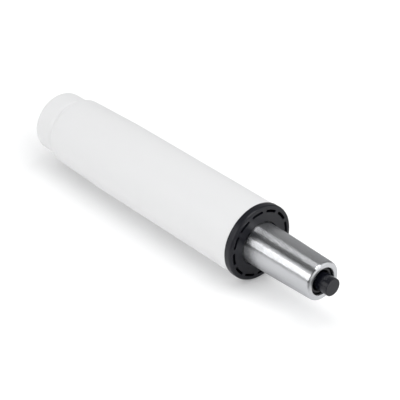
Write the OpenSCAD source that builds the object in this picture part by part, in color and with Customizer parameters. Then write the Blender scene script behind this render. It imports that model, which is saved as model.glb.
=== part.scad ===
// Chair gas lift cylinder: a painted stand column with a slotted guide bush, and a gas spring
// that slides in the bush and swivels on a thrust bearing at the column's foot.
// Lengths are in millimetres. +Z runs from the foot to the release button, and the origin is
// the centre of the foot's lower rim. The lift is drawn fully lowered.

/* [Stand column] */
// Height of the column tube
column_h = 200; // [190:1:260]
// Outside diameter of the straight tube
column_d = 50; // [48:0.5:54]
// Wall of the tube
column_wall = 1.5; // [1.2:0.1:1.8]
// Height of the base cone's upper end
base_cone_top = 66; // [50:1:80]
// Diameter that both cones lose per millimetre of height, 0.05 is a taper of 1:20
cone_taper = 0.05; // [0.03:0.005:0.06]
// Outside diameter of the foot ring below the groove
foot_d = 42.8; // [42:0.1:44]
// Rounding of the foot's lower edge
foot_round = 2.8; // [2.2:0.1:3.4]
// How far the foot's lip turns inwards
foot_turn = 4.4; // [4.2:0.1:6]
// Height of the rolled groove's deepest line
groove_z = 16.8; // [15:0.1:20]
// Depth of the groove below the foot ring
groove_depth = 0.8; // [0.5:0.1:1.2]
// Height of the flank from the foot ring down into the groove
groove_low = 2.6; // [2:0.1:3.5]
// Height of the flank from the groove up to the cone
groove_high = 5; // [4:0.1:7]

/* [Guide bush] */
// How far the collar stands proud of the tube
collar_proud = 0.5; // [0.1:0.1:1]
// Height of the collar above the tube
collar_h = 5.2; // [4:0.1:7]
// Rounding of the collar's upper edge
collar_round = 1.3; // [0.4:0.1:1.6]
// Rounding of the collar's edge at the tube
collar_heel = 0.5; // [0.2:0.1:1]
// Length of the bush inside the tube
bush_len = 80; // [60:1:90]
// Thickness of the sleeve round the gas cylinder
bush_sleeve = 3.6; // [2.5:0.1:4]
// Thickness of the skin against the tube
bush_skin = 0.6; // [0.5:0.1:1.4]
// Thickness of the ribs, and of the bridges between the slots
bush_rib = 2.7; // [2:0.1:5]
// Number of slots in the collar
slot_count = 12; // [8:1:14]
// Width of a slot
slot_w = 1.4; // [0.8:0.1:1.9]
// Distance from the tube's outside to the middle of a slot
slot_inset = 3.15; // [2.8:0.05:3.6]
// Turn of the first bridge about the axis, in degrees
slot_phase = 6; // [0:0.5:30]
// Width of the countersink round the gas cylinder
mouth_w = 0.8; // [0.5:0.1:3]
// Depth of the countersink
mouth_depth = 2; // [1:0.1:3]

/* [Gas cylinder] */
// Outside diameter of the gas cylinder
cylinder_d = 28; // [26:0.5:30]
// Wall of the gas cylinder
cylinder_wall = 1.5; // [1.2:0.1:1.8]
// Height of the cylinder's top above the column when lowered
cylinder_reach = 60; // [55:1:80]
// Length of the seat cone at the top
seat_cone_len = 40; // [30:1:45]
// Rounding of the rolled lip at the top
lip_round = 2.2; // [2:0.1:3]
// Diameter of the hole in the rolled lip
lip_hole_d = 18.4; // [17:0.1:19]
// Rounding of the lip's edge at the hole
lip_edge = 1.2; // [0.3:0.1:1.3]
// Rounding of the rolled tail at the bottom
tail_round = 2.6; // [2:0.1:3.5]
// Stroke of the lift
stroke = 85; // [60:1:100]

/* [Release button] */
// Diameter of the button
button_d = 11.7; // [10:0.1:12.4]
// Height of the button above the cylinder's top
button_proud = 8; // [5:0.1:10]
// Travel of the button when pressed
button_travel = 4; // [3:0.1:5]
// Bevel of the button's top edge
button_bevel = 0.3; // [0.2:0.1:1.2]
// Width of the flange that keeps the button in
button_flange_w = 1.4; // [1:0.1:1.6]
// Thickness of the flange that keeps the button in
button_flange_t = 2; // [1.5:0.1:3]
// Gap round the flange that keeps the button in
button_flange_gap = 0.6; // [0.3:0.1:1]
// Diameter of the recess round the button, inside the rim
recess_d = 13.6; // [13:0.1:14.6]
// Depth of the recess below the cylinder's top
recess_depth = 10; // [6:0.5:12]
// Bevel of the rim's inner edge
recess_bevel = 0.3; // [0.2:0.1:0.6]
// Depth of the rim's top below the lip's underside
rim_drop = 0.4; // [0.2:0.1:1]
// Width of the groove between the rim and the lip's hole
rim_gap = 1; // [0.6:0.1:1.4]
// Depth of the groove below the rim's top
rim_h = 1.5; // [0.5:0.1:3]
// Length of the bore that guides the button
button_guide_h = 10; // [6:0.5:14]

/* [Release valve] */
// Diameter of the valve pin
pin_d = 4; // [3:0.1:5]
// Length of the valve body
valve_len = 28; // [26:0.5:34]
// Length of the valve body's plug inside the inner tube
valve_plug_h = 8; // [7:0.5:10]
// Diameter of the valve body between its plug and its head
valve_waist_d = 22; // [21.4:0.1:23]
// Height of the valve body's sealed head
valve_head_h = 7.5; // [6:0.5:9]
// Diameter of the chamber above the piston
chamber_d = 12; // [10:0.5:14]
// Depth of the chamber above the piston
chamber_h = 6; // [4:0.5:6.5]
// Diameter of the valve pin's head
pin_head_d = 8.4; // [7:0.1:9.5]
// Thickness of the valve pin's head
pin_head_t = 2.5; // [1.5:0.1:3.5]
// Thickness of the O-rings
o_ring_t = 1.8; // [1.4:0.1:2]
// Height of the spacer between the pin's seals
pin_spacer_h = 3; // [2.4:0.1:4]
// Height of the bush that closes the seal pocket
pin_bush_h = 5.4; // [4:0.1:6]
// Diameter of the gas port through the valve body
port_d = 1.6; // [1:0.1:2]

/* [Piston rod and piston] */
// Diameter of the piston rod
rod_d = 10; // [9:0.5:12]
// Diameter of the rod's lower end, in the bearing
spigot_d = 8; // [6.5:0.1:8.6]
// Diameter of the rod in the clip's groove
clip_neck_d = 6; // [5:0.1:6.2]
// Length of the rod below the clip
rod_tail = 3; // [2:0.1:5]
// Diameter of the rod's upper end, in the piston
piston_spigot_d = 7; // [6:0.1:8]
// Height of the piston
piston_h = 12; // [9:0.5:16]
// Thickness of the washer under the piston
piston_washer_t = 1.5; // [1:0.1:2.5]
// Diameter of the washer under the piston
piston_washer_d = 16; // [14:0.5:17.5]
// Height of the piston seal
piston_seal_h = 2.6; // [2:0.1:4]
// Depth of the piston seal's groove
piston_seal_t = 1.8; // [1.2:0.1:2.2]
// Height of the piston nut
nut_h = 4; // [3:0.1:6]
// Width of the piston nut across its corners
nut_d = 12; // [11:0.1:14]

/* [Inner tube and rod seals] */
// Bore of the inner tube
tube_bore_d = 19; // [18.4:0.1:19.4]
// Wall of the inner tube
tube_wall = 0.8; // [0.6:0.1:1]
// Height of the rod guide
guide_h = 14; // [12:0.5:18]
// Height of the rod guide's step inside the inner tube
guide_step_h = 6; // [4:0.5:7]
// Height of the rod seal
rod_seal_h = 6; // [4:0.5:8]
// Depth of the hollow behind the rod seal's lip
rod_seal_hollow = 3; // [1:0.5:3]
// Thickness of the washer under the rod seal
seal_washer_t = 2; // [1.6:0.1:3]

/* [Bearing and foot] */
// Thickness of the base plate
plate_t = 3.5; // [2.5:0.1:4.5]
// Thickness of the base plate's skirt
plate_skirt_w = 2.6; // [2.2:0.1:3.5]
// Rounding inside the base plate
plate_bend = 1.5; // [0.5:0.1:2]
// Diameter of the bearing races
race_d = 26; // [25:0.5:30]
// Thickness of a bearing race
race_t = 2; // [1.6:0.1:3]
// Diameter of the circle that the balls run on
ball_circle_d = 18.4; // [17.6:0.1:19]
// Diameter of a ball
ball_d = 4; // [3.4:0.1:4.2]
// Number of balls
ball_count = 10; // [6:1:11]
// How deep a ball sits in its race
ball_sink = 0.7; // [0.4:0.1:1]
// Thickness of the ball cage
cage_t = 1.4; // [1:0.1:1.6]
// Wall of the ball cage beside a ball
cage_wall = 0.6; // [0.4:0.1:0.9]
// Diameter of the rubber buffer
buffer_d = 22; // [20:0.5:24]
// Height of the rubber buffer
buffer_h = 14; // [10:0.5:18]
// Depth of the buffer's waist
buffer_waist = 1.6; // [0.6:0.1:2.4]
// Diameter of the washer under the base plate
rod_washer_d = 18; // [16:0.5:22]
// Thickness of the washer under the base plate
rod_washer_t = 1.5; // [1:0.1:2]
// Outside diameter of the retaining clip
clip_d = 14; // [13:0.5:16]
// Width of the retaining clip's band
clip_band = 1.9; // [1.5:0.1:2]
// Thickness of the retaining clip
clip_t = 1.2; // [0.8:0.1:1.6]

/* [Clearances] */
// Radial clearance of pieces that slide or turn in each other
slide_clear = 0.08; // [0.05:0.01:0.1]
// Radial clearance of a seal's lip
lip_clear = 0.05; // [0.02:0.01:0.08]
// Clearance of pieces that are fixed in each other
fit_clear = 0.05; // [0.02:0.01:0.1]
// Clearance of the balls in their races and cage
ball_clear = 0.1; // [0.06:0.01:0.15]
// Clearance of rings round a shaft that they don't touch
ring_clear = 0.4; // [0.3:0.05:0.6]
// Gap between the lowered cylinder and its buffer
landing_gap = 0.3; // [0.2:0.05:0.5]
// Gap left at the end of a travel
end_gap = 0.6; // [0.5:0.1:1.5]

/* [Hidden] */
$fn = 96;
arc_steps = 8;
flank_steps = 8;
nut_sides = 6;
lobe_count = 3;
cut_over = 1;

column_r = column_d / 2;
foot_r = foot_d / 2;
groove_r = foot_r - groove_depth;
cone_foot_z = groove_z + groove_high;
bush_r = column_r - column_wall - fit_clear;
bore_r = cylinder_d / 2 + slide_clear;
pocket_in_r = bore_r + bush_sleeve;
pocket_out_r = bush_r - bush_skin;
slot_r = column_r - slot_inset;
collar_r = column_r + collar_proud;
collar_top = column_h + collar_h;

rod_r = rod_d / 2;
spigot_r = spigot_d / 2;
plate_r = foot_r - column_wall - fit_clear;
plate_foot = column_wall;
plate_bevel = foot_round - column_wall + fit_clear;
plate_top = groove_z - groove_low;
plate_under = plate_top - plate_t;
washer_z = plate_under - rod_washer_t;
clip_z = washer_z - clip_t;
rod_foot = clip_z - rod_tail;

ball_r = ball_d / 2;
ball_circle_r = ball_circle_d / 2;
race_gap = 2 * (ball_r - ball_sink);
ball_z = plate_top + race_t + race_gap / 2;
upper_race_z = ball_z + race_gap / 2;
buffer_z = upper_race_z + race_t;
buffer_top = buffer_z + buffer_h;

cylinder_r = cylinder_d / 2;
cylinder_in_r = cylinder_r - cylinder_wall;
cylinder_foot = buffer_top + landing_gap;
cylinder_top = column_h + cylinder_reach;
seat_cone_z = cylinder_top - seat_cone_len;
lip_hole_r = lip_hole_d / 2;
tail_hole_r = rod_r + tail_round / 2;

seal_washer_z = cylinder_foot + cylinder_wall;
rod_seal_z = seal_washer_z + seal_washer_t;
guide_z = rod_seal_z + rod_seal_h;
guide_top = guide_z + guide_h;
guide_step_z = guide_top - guide_step_h;
guide_o_ring_z = (guide_z + guide_step_z) / 2;
tube_in_r = tube_bore_d / 2;
tube_r = tube_in_r + tube_wall;

piston_washer_z = guide_top + stroke + end_gap;
piston_z = piston_washer_z + piston_washer_t;
nut_z = piston_z + piston_h;
piston_spigot_r = piston_spigot_d / 2;
piston_r = tube_in_r - slide_clear;
piston_seal_r = tube_in_r - lip_clear;
piston_seal_z = piston_z + (piston_h - piston_seal_h) / 2;

button_r = button_d / 2;
button_flange_r = button_r + button_flange_w;
flange_bore_r = button_flange_r + button_flange_gap;
recess_r = recess_d / 2;
rim_r = lip_hole_r - rim_gap;
recess_floor = cylinder_top - recess_depth;
button_stop = recess_floor - button_guide_h;
button_foot = button_stop - button_flange_t;
valve_top = button_foot - button_travel - end_gap;
valve_foot = valve_top - valve_len;
valve_step_z = valve_foot + valve_plug_h;
valve_head_z = valve_top - valve_head_h;
chamber_top = valve_foot + chamber_h;
pin_r = pin_d / 2;
o_ring_r = o_ring_t / 2;
o_ring_seat = o_ring_t + 2 * fit_clear;
seal_ring_r = pin_r + lip_clear + o_ring_r;
pocket_r = seal_ring_r + o_ring_r + fit_clear;
pin_bush_z = valve_top - pin_bush_h;
upper_pin_seal_z = pin_bush_z - o_ring_seat / 2;
pin_spacer_z = pin_bush_z - o_ring_seat - pin_spacer_h;
lower_pin_seal_z = pin_spacer_z - o_ring_seat / 2;
pin_pocket_z = pin_spacer_z - o_ring_seat;
port_z = pin_spacer_z + pin_spacer_h / 2;
valve_o_ring_z = [for (share = [1 / 4, 3 / 4]) valve_head_z + valve_head_h * share];

// Points of an arc about a centre, from one angle to another
function arc(centre, r, from, to) =
    [for (i = [0:arc_steps]) let (a = from + (to - from) * i / arc_steps)
        centre + r * [cos(a), sin(a)]];

// The same points in the other order
function reversed(points) = [for (i = [len(points) - 1:-1:0]) points[i]];

// Smooth step from 0 to 1
function ease(t) = (1 - cos(180 * t)) / 2;

// Outside radius of the base cone at a height
function base_cone_r(z) = column_r - cone_taper / 2 * (base_cone_top - z);

// Outside radius of the gas cylinder at a height
function cylinder_r_at(z) = cylinder_r - cone_taper / 2 * max(0, z - seat_cone_z);

// Side of the column from the foot to the top, moved inwards by an inset
function column_side(inset) = concat(
    arc([foot_r - foot_round, foot_round], foot_round - inset, -90, 0),
    [for (i = [0:flank_steps]) let (t = i / flank_steps)
        [foot_r - groove_depth * ease(t) - inset, groove_z - groove_low * (1 - t)]],
    [for (i = [1:flank_steps]) let (t = i / flank_steps)
        [groove_r + (base_cone_r(cone_foot_z) - groove_r) * ease(t) - inset, groove_z + groove_high * t]],
    [[column_r - inset, base_cone_top], [column_r - inset, column_h]]);

// Side of the gas cylinder from its tail to its lip, moved inwards by an inset
function cylinder_side(inset) = concat(
    arc([cylinder_r - tail_round, cylinder_foot + tail_round], tail_round - inset, -90, 0),
    [[cylinder_r - inset, seat_cone_z]],
    arc([cylinder_r_at(cylinder_top) - lip_round, cylinder_top - lip_round], lip_round - inset, 0, 90));

// A turned piece from its half section
module turned(points) {
    rotate_extrude()
        polygon(points);
}

// A ring from its radii and its lower face
module ring(r_out, r_in, z, h) {
    turned([[r_in, z], [r_out, z], [r_out, z + h], [r_in, z + h]]);
}

// A round cord ring at a height
module o_ring(middle_r, z) {
    rotate_extrude()
        translate([middle_r, z])
            circle(o_ring_r);
}

// The groove that an outer O-ring sits in, cut from the outside
module o_ring_groove(outer_r, z) {
    ring(outer_r + cut_over, outer_r - o_ring_seat, z - o_ring_seat / 2, o_ring_seat);
}

// Bars across a ring at equal angles
module spokes(count, phase, length, width) {
    for (i = [0:count - 1])
        rotate(phase + i * 360 / count)
            translate([0, -width / 2])
                square([length, width]);
}

module column_tube() {
    lip_in_r = foot_r - foot_turn;
    color("WhiteSmoke")
        turned(concat([[lip_in_r, 0]], column_side(0),
            reversed(column_side(column_wall)), [[lip_in_r, column_wall]]));
}

module guide_bush() {
    color([0.12, 0.12, 0.13])
        difference() {
            turned(concat([[bore_r, column_h - bush_len], [bush_r, column_h - bush_len], [bush_r, column_h]],
                arc([collar_r - collar_heel, column_h + collar_heel], collar_heel, -90, 0),
                arc([collar_r - collar_round, collar_top - collar_round], collar_round, 0, 90),
                [[bore_r + mouth_w, collar_top], [bore_r, collar_top - mouth_depth]]));
            translate([0, 0, column_h - bush_len - cut_over])
                linear_extrude(bush_len + cut_over)
                    difference() {
                        circle(pocket_out_r);
                        circle(pocket_in_r);
                        spokes(slot_count, slot_phase, column_r, bush_rib);
                    }
            translate([0, 0, column_h - cut_over])
                linear_extrude(collar_h + 2 * cut_over)
                    difference() {
                        circle(slot_r + slot_w / 2);
                        circle(slot_r - slot_w / 2);
                        spokes(slot_count, slot_phase, column_r, bush_rib);
                    }
        }
}

module base_plate() {
    skirt_in_r = plate_r - plate_skirt_w;
    color("Silver")
        turned(concat([[spigot_r + slide_clear, plate_top], [plate_r - plate_bevel, plate_top],
            [plate_r, plate_top - plate_bevel], [plate_r, plate_foot + plate_bevel],
            [plate_r - plate_bevel, plate_foot], [skirt_in_r, plate_foot]],
            arc([skirt_in_r - plate_bend, plate_under - plate_bend], plate_bend, 0, 90),
            [[spigot_r + slide_clear, plate_under]]));
}

// The track that the balls run in, cut from a race
module ball_track() {
    rotate_extrude()
        translate([ball_circle_r, ball_z])
            circle(ball_r + ball_clear);
}

module lower_race() {
    color("LightSteelBlue")
        difference() {
            ring(race_d / 2, spigot_r + ring_clear, plate_top, race_t);
            ball_track();
        }
}

module upper_race() {
    color("LightSteelBlue")
        difference() {
            ring(race_d / 2, spigot_r + fit_clear, upper_race_z, race_t);
            ball_track();
        }
}

// Places one copy at each ball
module at_balls() {
    for (i = [0:ball_count - 1])
        rotate(i * 360 / ball_count)
            translate([ball_circle_r, 0, ball_z])
                children();
}

module ball_cage() {
    half_w = ball_r + ball_clear + cage_wall;
    color("DarkGoldenrod")
        difference() {
            ring(ball_circle_r + half_w, ball_circle_r - half_w, ball_z - cage_t / 2, cage_t);
            at_balls()
                cylinder(r = ball_r + ball_clear, h = cage_t + 2 * cut_over, center = true);
        }
}

module bearing_balls() {
    color("Gainsboro")
        at_balls()
            sphere(ball_r);
}

module rubber_buffer() {
    lobe_h = buffer_h / 2;
    lobe_r = buffer_d / 2;
    side = [for (i = [0:2 * arc_steps]) let (t = i / (2 * arc_steps))
        [lobe_r - buffer_waist * (1 + cos(720 * t)) / 2, buffer_z + 2 * lobe_h * t]];
    color([0.15, 0.15, 0.15])
        turned(concat([[rod_r + fit_clear, buffer_z]], side, [[rod_r + fit_clear, buffer_top]]));
}

module piston_rod() {
    neck_r = clip_neck_d / 2;
    bevel = (spigot_r - neck_r) / 2;
    color("Silver")
        turned([[0, rod_foot], [spigot_r - bevel, rod_foot], [spigot_r, rod_foot + bevel],
            [spigot_r, clip_z - fit_clear], [neck_r, clip_z - fit_clear],
            [neck_r, washer_z + fit_clear], [spigot_r, washer_z + fit_clear],
            [spigot_r, buffer_z], [rod_r, buffer_z],
            [rod_r, piston_washer_z], [piston_spigot_r, piston_washer_z],
            [piston_spigot_r, nut_z + nut_h], [piston_spigot_r - bevel, nut_z + nut_h + bevel],
            [0, nut_z + nut_h + bevel]]);
}

module rod_washer() {
    color("Silver")
        ring(rod_washer_d / 2, spigot_r + fit_clear, washer_z, rod_washer_t);
}

module retaining_clip() {
    neck_r = clip_neck_d / 2;
    mouth = clip_neck_d - clip_band / 2;
    color("DimGray")
        translate([0, 0, clip_z])
            linear_extrude(clip_t)
                difference() {
                    union() {
                        difference() {
                            circle(clip_d / 2);
                            circle(clip_d / 2 - clip_band);
                        }
                        intersection() {
                            circle(clip_d / 2 - clip_band / 2);
                            spokes(lobe_count, 0, clip_d, 2 * clip_band);
                        }
                    }
                    circle(neck_r + fit_clear);
                    rotate(180)
                        translate([0, -mouth / 2])
                            square([clip_d, mouth]);
                }
}

module piston_washer() {
    color("Silver")
        ring(piston_washer_d / 2, piston_spigot_r + fit_clear, piston_washer_z, piston_washer_t);
}

module piston() {
    color("Gainsboro")
        difference() {
            ring(piston_r, piston_spigot_r + fit_clear, piston_z, piston_h);
            ring(piston_r + cut_over, piston_seal_r - piston_seal_t - fit_clear,
                piston_seal_z - fit_clear, piston_seal_h + 2 * fit_clear);
        }
}

module piston_seal() {
    color([0.15, 0.15, 0.15])
        ring(piston_seal_r, piston_seal_r - piston_seal_t, piston_seal_z, piston_seal_h);
}

module piston_nut() {
    color("Silver")
        difference() {
            translate([0, 0, nut_z])
                cylinder(d = nut_d, h = nut_h, $fn = nut_sides);
            ring(piston_spigot_r + fit_clear, 0, nut_z - cut_over, nut_h + 2 * cut_over);
        }
}

module gas_cylinder() {
    color("LightGray")
        turned(concat([[tail_hole_r, cylinder_foot]], cylinder_side(0),
            arc([lip_hole_r + lip_edge, cylinder_top - lip_edge], lip_edge, 90, 180),
            [[lip_hole_r, cylinder_top - cylinder_wall]], reversed(cylinder_side(cylinder_wall)),
            [[tail_hole_r, cylinder_foot + cylinder_wall]]));
}

module seal_washer() {
    bevel = tail_round - cylinder_wall + fit_clear;
    out_r = cylinder_in_r - fit_clear;
    in_r = rod_r + ring_clear;
    color("Silver")
        turned([[in_r, seal_washer_z], [out_r - bevel, seal_washer_z], [out_r, seal_washer_z + bevel],
            [out_r, rod_seal_z], [in_r, rod_seal_z]]);
}

module rod_seal() {
    out_r = cylinder_in_r - fit_clear;
    in_r = rod_r + lip_clear;
    lip_t = (out_r - in_r) / 4;
    color([0.15, 0.15, 0.15])
        turned([[in_r + lip_t / 2, rod_seal_z], [out_r, rod_seal_z], [out_r, guide_z],
            [out_r - lip_t, guide_z], [(in_r + out_r) / 2, guide_z - rod_seal_hollow],
            [in_r + lip_t, guide_z], [in_r, guide_z]]);
}

module rod_guide() {
    out_r = cylinder_in_r - fit_clear;
    in_r = rod_r + slide_clear;
    color("Gainsboro")
        difference() {
            turned([[in_r, guide_z], [out_r, guide_z], [out_r, guide_step_z],
                [tube_in_r - fit_clear, guide_step_z], [tube_in_r - fit_clear, guide_top],
                [in_r, guide_top]]);
            o_ring_groove(out_r, guide_o_ring_z);
        }
}

module rod_guide_o_ring() {
    color([0.15, 0.15, 0.15])
        o_ring(cylinder_in_r - fit_clear - o_ring_r, guide_o_ring_z);
}

module inner_tube() {
    color("LightGray")
        ring(tube_r, tube_in_r, guide_step_z, valve_step_z - guide_step_z);
}

module valve_body() {
    waist_r = valve_waist_d / 2;
    plug_r = tube_in_r - fit_clear;
    pin_bore_r = pin_r + slide_clear;
    wall_gap = cylinder_wall + fit_clear;
    color("Gainsboro")
        difference() {
            turned([[pin_bore_r, chamber_top], [chamber_d / 2, chamber_top], [chamber_d / 2, valve_foot],
                [plug_r, valve_foot], [plug_r, valve_step_z], [waist_r, valve_step_z],
                [waist_r, valve_head_z], [cylinder_r_at(valve_head_z) - wall_gap, valve_head_z],
                [cylinder_r_at(valve_top) - wall_gap, valve_top], [pocket_r, valve_top],
                [pocket_r, pin_pocket_z], [pin_bore_r, pin_pocket_z]]);
            for (z = valve_o_ring_z)
                o_ring_groove(cylinder_r_at(z) - wall_gap, z);
            translate([0, 0, port_z])
                rotate([0, 90, 0])
                    cylinder(d = port_d, h = column_d);
        }
}

module valve_o_rings() {
    color([0.15, 0.15, 0.15])
        for (z = valve_o_ring_z)
            o_ring(cylinder_r_at(z) - cylinder_wall - fit_clear - o_ring_r, z);
}

module pin_seals() {
    color([0.15, 0.15, 0.15])
        for (z = [lower_pin_seal_z, upper_pin_seal_z])
            o_ring(seal_ring_r, z);
}

module pin_spacer() {
    color("Goldenrod")
        difference() {
            ring(pocket_r - fit_clear, pin_r + ring_clear, pin_spacer_z, pin_spacer_h);
            translate([0, 0, port_z])
                rotate([0, 90, 0])
                    cylinder(d = port_d, h = column_d);
        }
}

module pin_bush() {
    color("Goldenrod")
        ring(pocket_r - fit_clear, pin_r + slide_clear, pin_bush_z, pin_bush_h);
}

module button_guide() {
    wall_gap = cylinder_wall + fit_clear;
    top = cylinder_top - cylinder_wall;
    rim_top = top - rim_drop;
    bevel = lip_round - cylinder_wall + fit_clear;
    bore = button_r + slide_clear;
    color([0.08, 0.08, 0.09])
        turned([[flange_bore_r, valve_top], [cylinder_r_at(valve_top) - wall_gap, valve_top],
            [cylinder_r_at(top) - wall_gap, top - bevel], [cylinder_r_at(top) - wall_gap - bevel, top],
            [lip_hole_r, top], [lip_hole_r, rim_top - rim_h],
            [rim_r, rim_top - rim_h], [rim_r, rim_top],
            [recess_r + recess_bevel, rim_top], [recess_r, rim_top - recess_bevel],
            [recess_r, recess_floor], [bore, recess_floor],
            [bore, button_stop], [flange_bore_r, button_stop]]);
}

module release_button() {
    top = cylinder_top + button_proud;
    color([0.2, 0.2, 0.21])
        turned([[0, button_foot], [button_flange_r, button_foot], [button_flange_r, button_stop],
            [button_r, button_stop], [button_r, top - button_bevel], [button_r - button_bevel, top],
            [0, top]]);
}

module valve_pin() {
    head_top = chamber_top - lip_clear;
    bevel = (pin_head_d / 2 - pin_r) / 2;
    color("Silver")
        turned([[0, head_top - pin_head_t], [pin_head_d / 2 - bevel, head_top - pin_head_t],
            [pin_head_d / 2, head_top - pin_head_t + bevel], [pin_head_d / 2, head_top],
            [pin_r, head_top], [pin_r, button_foot], [0, button_foot]]);
}

column_tube();
guide_bush();
base_plate();
lower_race();
ball_cage();
bearing_balls();
upper_race();
rubber_buffer();
piston_rod();
rod_washer();
retaining_clip();
piston_washer();
piston();
piston_seal();
piston_nut();
gas_cylinder();
seal_washer();
rod_seal();
rod_guide();
rod_guide_o_ring();
inner_tube();
valve_body();
valve_o_rings();
pin_seals();
pin_spacer();
pin_bush();
button_guide();
release_button();
valve_pin();
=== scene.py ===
"""Chair gas lift cylinder: turned skins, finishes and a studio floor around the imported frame.

Sizes are in millimetres unless a name or comment says otherwise, and MM turns them into metres.
The lift lies on the floor, as it was photographed, so the floor is a plane beside the Z axis.
"""
import logging
import math
from dataclasses import dataclass, field
from enum import Enum
from typing import ClassVar, NamedTuple, Optional, Union

import bmesh
import bpy
from mathutils import Matrix, Vector


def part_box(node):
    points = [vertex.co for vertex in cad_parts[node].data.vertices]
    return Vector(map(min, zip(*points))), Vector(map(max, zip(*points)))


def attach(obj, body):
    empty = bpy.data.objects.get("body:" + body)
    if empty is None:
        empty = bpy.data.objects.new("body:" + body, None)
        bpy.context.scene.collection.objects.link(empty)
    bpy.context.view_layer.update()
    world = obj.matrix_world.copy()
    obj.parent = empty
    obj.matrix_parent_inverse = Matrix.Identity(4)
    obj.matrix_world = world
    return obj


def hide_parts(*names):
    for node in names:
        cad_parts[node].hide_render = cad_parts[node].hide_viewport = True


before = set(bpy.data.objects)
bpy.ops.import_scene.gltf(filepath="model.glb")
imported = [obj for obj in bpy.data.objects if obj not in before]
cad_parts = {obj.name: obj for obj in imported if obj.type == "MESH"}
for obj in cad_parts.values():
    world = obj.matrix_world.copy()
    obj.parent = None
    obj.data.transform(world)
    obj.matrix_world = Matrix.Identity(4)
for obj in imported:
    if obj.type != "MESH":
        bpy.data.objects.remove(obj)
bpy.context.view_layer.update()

MM = 0.001
WELD_REACH = 0.001 * MM
SHARP_ANGLE = math.radians(32)
HALF_TURN = 180.0
ROUND_STEPS = 96
log = logging.getLogger("gas_lift")

Pair = tuple[float, float]
Colour = tuple[float, float, float]
Socket = bpy.types.NodeSocket
Piece = bpy.types.Object
Value = Union[float, int, tuple, str, bpy.types.ID, Socket]


class Body(Enum):
    """Bodies of the frame that pieces ride on."""

    COLUMN = "column"
    BEARING = "bearing"
    ROD = "rod"
    CYLINDER = "cylinder"
    BUTTON = "button"


class Grain(Enum):
    """Kinds of fine relief, by their pattern's scale along X, Y and Z. TURNED runs round the axis."""

    SPRAYED = (1.0, 1.0, 1.0)
    MOULDED = (1.0, 1.0, 1.2)
    GROUND = (0.03, 0.03, 1.0)
    TURNED = (0.0, 0.0, 0.0)


class LampUse(Enum):
    """What a lamp is for: light on surfaces, or its image in polished ones."""

    LIGHT = "light"
    GLINT = "glint"


class RingWork(Enum):
    """What a ring of copies does to the piece that it belongs to."""

    CUT = "cut"
    COPY = "copy"


class Desk:
    """A node tree in the making, with short ways to add its nodes and links."""

    def __init__(self, tree: bpy.types.NodeTree) -> None:
        """Takes over the tree of a material, a world or a geometry group and empties it."""
        self.tree = tree
        self.tree.nodes.clear()

    def add(self, kind: str, inputs: Optional[dict] = None, **settings: Value) -> bpy.types.Node:
        """Adds a node, sets its properties and fills or links its inputs.

        Args:
            kind: Blender's name of the node type.
            inputs: values or output sockets by input name or number.
            settings: properties of the node.

        Returns:
            The new node.
        """
        node = self.tree.nodes.new(kind)
        for name, value in settings.items():
            setattr(node, name, value)
        for name, value in (inputs or {}).items():
            if isinstance(value, Socket):
                self.tree.links.new(value, node.inputs[name])
            else:
                node.inputs[name].default_value = value
        return node

    def math(self, operation: str, first: Value, second: Value = 0.0) -> Socket:
        """Adds a Math node and gives its result."""
        return self.add("ShaderNodeMath", {0: first, 1: second}, operation=operation).outputs[0]

    def remap(self, value: Value, span: tuple, levels: tuple = (0.0, 1.0), way: str = "LINEAR") -> Socket:
        """Maps a value from a span to levels, both as their two ends, and gives the result."""
        inputs = {"Value": value, "From Min": span[0], "From Max": span[1],
                  "To Min": levels[0], "To Max": levels[1]}
        return self.add("ShaderNodeMapRange", inputs, interpolation_type=way).outputs["Result"]

    def ease(self, value: Value, span: tuple, levels: tuple) -> Socket:
        """Maps a value as remap does, with a soft start and end."""
        return self.remap(value, span, levels, "SMOOTHSTEP")

    def mix(self, share: Value, first: Value, second: Value) -> Socket:
        """Mixes two values, at the Mix node's sockets for numbers, and gives the result."""
        return self.add("ShaderNodeMix", {0: share, 2: first, 3: second}).outputs[0]

    def tint(self, share: Value, first: Value, second: Value) -> Socket:
        """Mixes two colours, at the Mix node's sockets for colours, and gives the result."""
        colours = {0: share, 6: first, 7: second}
        return self.add("ShaderNodeMix", colours, data_type="RGBA").outputs[2]

    def bump(self, height: Value, depth: float, **under: Value) -> Socket:
        """Adds a Bump node of a depth in millimetres and gives its normal."""
        relief = {"Height": height, "Strength": 1.0, "Distance": depth * MM, **under}
        return self.add("ShaderNodeBump", relief).outputs["Normal"]

    def coords(self) -> Socket:
        """Gives the object's own coordinates, in metres."""
        return self.add("ShaderNodeTexCoord").outputs["Object"]

    def split(self, vector: Socket) -> bpy.types.NodeOutputs:
        """Gives a vector's parts, by the names X, Y and Z."""
        return self.add("ShaderNodeSeparateXYZ", {0: vector}).outputs

    def seen(self) -> Socket:
        """Finds what the camera sees, straight or in gloss or glass.

        Returns:
            A socket that is 1 for what is seen and 0 for all other light.
        """
        path = self.add("ShaderNodeLightPath").outputs
        shown = self.math("MAXIMUM", path["Is Camera Ray"], path["Is Glossy Ray"])
        return self.math("MAXIMUM", shown, path["Is Transmission Ray"])


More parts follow.
